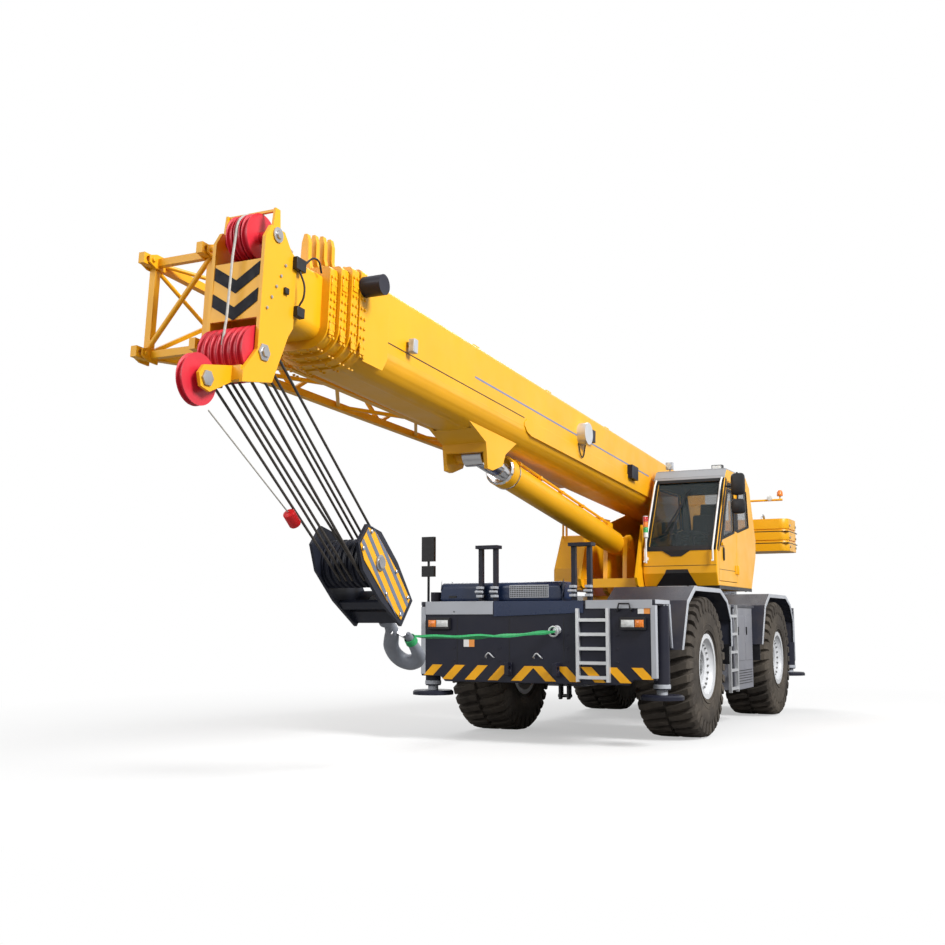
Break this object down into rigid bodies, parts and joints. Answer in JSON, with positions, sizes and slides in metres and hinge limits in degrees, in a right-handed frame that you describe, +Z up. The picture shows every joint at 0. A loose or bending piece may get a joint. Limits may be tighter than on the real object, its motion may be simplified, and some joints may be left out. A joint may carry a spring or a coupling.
{
  "type": "rough-terrain mobile crane",
  "caption": "Two-axle rough-terrain mobile crane with slewing cab, luffing telescopic boom, stowed lattice jib, outriggers, all-wheel steering and a hook block tied back",
  "frame": {"origin": "on the ground under the slewing axis, midway between the axles", "axes": "X forward along the carrier, Y to the left, Z up"},
  "size_m": [14.0663, 3.43, 4.6513],
  "materials": {
    "yellow_paint": "gloss",
    "slate_paint": "satin",
    "grey_paint": "satin",
    "iron": "matte",
    "aluminium": "satin",
    "lamp_glass": "gloss",
    "black_plastic": "matte",
    "glass": "gloss",
    "seat_fabric": "matte",
    "chrome": "polished",
    "steel": "satin",
    "red_nylon": "satin",
    "rope": "satin",
    "block_paint": "satin",
    "rim_paint": "satin",
    "tyre": "matte"
  },
  "bodies": {
    "carrier": {"chassis_frame": "slate_paint", "axles": "iron", "driveline": "iron", "engine_block": "iron", "end_panels": "slate_paint", "decks": "grey_paint", "hoods": "slate_paint", "fenders": "grey_paint", "side_tanks": "slate_paint", "ladders": "aluminium", "deck_stands": "slate_paint", "lamps": "lamp_glass", "carrier_mirrors": "black_plastic", "slew_ring": "iron"},
    "superstructure": {"turntable_frame": "yellow_paint", "counterweight": "yellow_paint", "winches": "iron", "valve_cover": "yellow_paint", "cab_shell": "yellow_paint", "cab_glass": "glass", "cab_seat": "seat_fabric", "cab_controls": "black_plastic", "cab_fittings": "black_plastic"},
    "door": {"cab_door": "yellow_paint", "door_glass": "glass"},
    "ram_barrel": {"lift_cylinder_barrel": "yellow_paint"},
    "ram_rod": {"lift_cylinder_rod": "chrome"},
    "boom": {"boom_base": "yellow_paint", "lattice_jib": "yellow_paint", "boom_fittings": "steel"},
    "section_2": {"boom_section_2": "yellow_paint"},
    "section_3": {"boom_section_3": "yellow_paint"},
    "section_4": {"boom_section_4": "yellow_paint"},
    "section_5": {"boom_section_5": "yellow_paint", "head_sheaves": "red_nylon"},
    "falls": {"hoist_ropes": "rope"},
    "block": {"hook_block": "block_paint"},
    "swivel_hook": {"hook": "iron"},
    "beam_fl": {"outrigger_beam_fl": "slate_paint"},
    "jack_fl": {"outrigger_jack_fl": "steel"},
    "steer_fl": {"knuckle_fl": "iron"},
    "wheel_fl": {"rim_fl": "rim_paint", "tyre_fl": "tyre"},
    "beam_fr": {"outrigger_beam_fr": "slate_paint"},
    "jack_fr": {"outrigger_jack_fr": "steel"},
    "steer_fr": {"knuckle_fr": "iron"},
    "wheel_fr": {"rim_fr": "rim_paint", "tyre_fr": "tyre"},
    "beam_rl": {"outrigger_beam_rl": "slate_paint"},
    "jack_rl": {"outrigger_jack_rl": "steel"},
    "steer_rl": {"knuckle_rl": "iron"},
    "wheel_rl": {"rim_rl": "rim_paint", "tyre_rl": "tyre"},
    "beam_rr": {"outrigger_beam_rr": "slate_paint"},
    "jack_rr": {"outrigger_jack_rr": "steel"},
    "steer_rr": {"knuckle_rr": "iron"},
    "wheel_rr": {"rim_rr": "rim_paint", "tyre_rr": "tyre"}
  },
  "joints": [
    {"name": "steering_fl", "type": "hinge", "parent": "carrier", "child": "steer_fl", "pos_m": [2.05, 0.85, 0.86], "axis": [0, 0, 1], "range_deg": [-25, 25]},
    {"name": "roll_fl", "type": "hinge", "parent": "steer_fl", "child": "wheel_fl", "pos_m": [2.05, 1.22, 0.86], "axis": [0, 1, 0], "continuous": true},
    {"name": "extend_fl", "type": "slide", "parent": "carrier", "child": "beam_fl", "axis": [0, 1, 0], "range_m": [0, 2.2]},
    {"name": "lower_fl", "type": "slide", "parent": "beam_fl", "child": "jack_fl", "axis": [0, 0, -1], "range_m": [0, 0.525]},
    {"name": "steering_fr", "type": "hinge", "parent": "carrier", "child": "steer_fr", "pos_m": [2.05, -0.85, 0.86], "axis": [0, 0, 1], "range_deg": [-25, 25]},
    {"name": "roll_fr", "type": "hinge", "parent": "steer_fr", "child": "wheel_fr", "pos_m": [2.05, -1.22, 0.86], "axis": [0, 1, 0], "continuous": true},
    {"name": "extend_fr", "type": "slide", "parent": "carrier", "child": "beam_fr", "axis": [0, -1, 0], "range_m": [0, 2.2]},
    {"name": "lower_fr", "type": "slide", "parent": "beam_fr", "child": "jack_fr", "axis": [0, 0, -1], "range_m": [0, 0.525]},
    {"name": "steering_rl", "type": "hinge", "parent": "carrier", "child": "steer_rl", "pos_m": [-2.05, 0.85, 0.86], "axis": [0, 0, 1], "range_deg": [-25, 25]},
    {"name": "roll_rl", "type": "hinge", "parent": "steer_rl", "child": "wheel_rl", "pos_m": [-2.05, 1.22, 0.86], "axis": [0, 1, 0], "continuous": true},
    {"name": "extend_rl", "type": "slide", "parent": "carrier", "child": "beam_rl", "axis": [0, 1, 0], "range_m": [0, 2.2]},
    {"name": "lower_rl", "type": "slide", "parent": "beam_rl", "child": "jack_rl", "axis": [0, 0, -1], "range_m": [0, 0.525]},
    {"name": "steering_rr", "type": "hinge", "parent": "carrier", "child": "steer_rr", "pos_m": [-2.05, -0.85, 0.86], "axis": [0, 0, 1], "range_deg": [-25, 25]},
    {"name": "roll_rr", "type": "hinge", "parent": "steer_rr", "child": "wheel_rr", "pos_m": [-2.05, -1.22, 0.86], "axis": [0, 1, 0], "continuous": true},
    {"name": "extend_rr", "type": "slide", "parent": "carrier", "child": "beam_rr", "axis": [0, -1, 0], "range_m": [0, 2.2]},
    {"name": "lower_rr", "type": "slide", "parent": "beam_rr", "child": "jack_rr", "axis": [0, 0, -1], "range_m": [0, 0.525]},
    {"name": "slew", "type": "hinge", "parent": "carrier", "child": "superstructure", "pos_m": [0, 0, 1.7], "axis": [0, 0, 1], "continuous": true},
    {"name": "door_swing", "type": "hinge", "parent": "superstructure", "child": "door", "pos_m": [-0.02, 1.468, 2.64], "axis": [0, 0, 1], "range_deg": [0, 85]},
    {"name": "luff", "type": "hinge", "parent": "superstructure", "child": "boom", "pos_m": [-2.3, 0, 3.05], "axis": [0, -1, 0], "range_deg": [0, 76.2]},
    {"name": "ram_tilt", "type": "hinge", "parent": "superstructure", "child": "ram_barrel", "pos_m": [0.8, 0, 2.455], "axis": [0, -1, 0], "range_deg": [-0.2, 91.17]},
    {"name": "ram_stroke", "type": "slide", "parent": "ram_barrel", "child": "ram_rod", "axis": [0.9882, 0, 0.1529], "range_m": [-0.002, 3.56634]},
    {"name": "telescope_2", "type": "slide", "parent": "boom", "child": "section_2", "axis": [0.9978, 0, 0.0663], "range_m": [0, 8.28]},
    {"name": "telescope_3", "type": "slide", "parent": "section_2", "child": "section_3", "axis": [0.9978, 0, 0.0663], "range_m": [0, 8.28]},
    {"name": "telescope_4", "type": "slide", "parent": "section_3", "child": "section_4", "axis": [0.9978, 0, 0.0663], "range_m": [0, 8.28]},
    {"name": "telescope_5", "type": "slide", "parent": "section_4", "child": "section_5", "axis": [0.9978, 0, 0.0663], "range_m": [0, 8.28]},
    {"name": "hook_swing", "type": "hinge", "parent": "section_5", "child": "falls", "pos_m": [9.42406, 0, 3.37772], "axis": [0, -1, 0], "range_deg": [-27.4, 0.2]},
    {"name": "hook_hoist", "type": "slide", "parent": "falls", "child": "block", "axis": [0.7547, 0, 0.6561], "range_m": [0, 1.5], "deforming": ["hoist_ropes"]},
    {"name": "hook_turn", "type": "hinge", "parent": "block", "child": "swivel_hook", "pos_m": [7.29577, 0, 1.52763], "axis": [0.7547, 0, 0.6561], "continuous": true}
  ],
  "couplings": [
    {"joint": "steering_fr", "follows": "steering_fl", "ratio": 1},
    {"joint": "steering_rr", "follows": "steering_rl", "ratio": 1},
    {"joint": "ram_tilt", "follows": "luff", "ratio": 1.1939},
    {"joint": "ram_stroke", "follows": "luff", "m_per_rad": 2.6801},
    {"joint": "telescope_3", "follows": "telescope_2", "ratio": 1},
    {"joint": "telescope_4", "follows": "telescope_2", "ratio": 1},
    {"joint": "telescope_5", "follows": "telescope_2", "ratio": 1},
    {"joint": "hook_swing", "follows": "luff", "ratio": -0.35696}
  ]
}
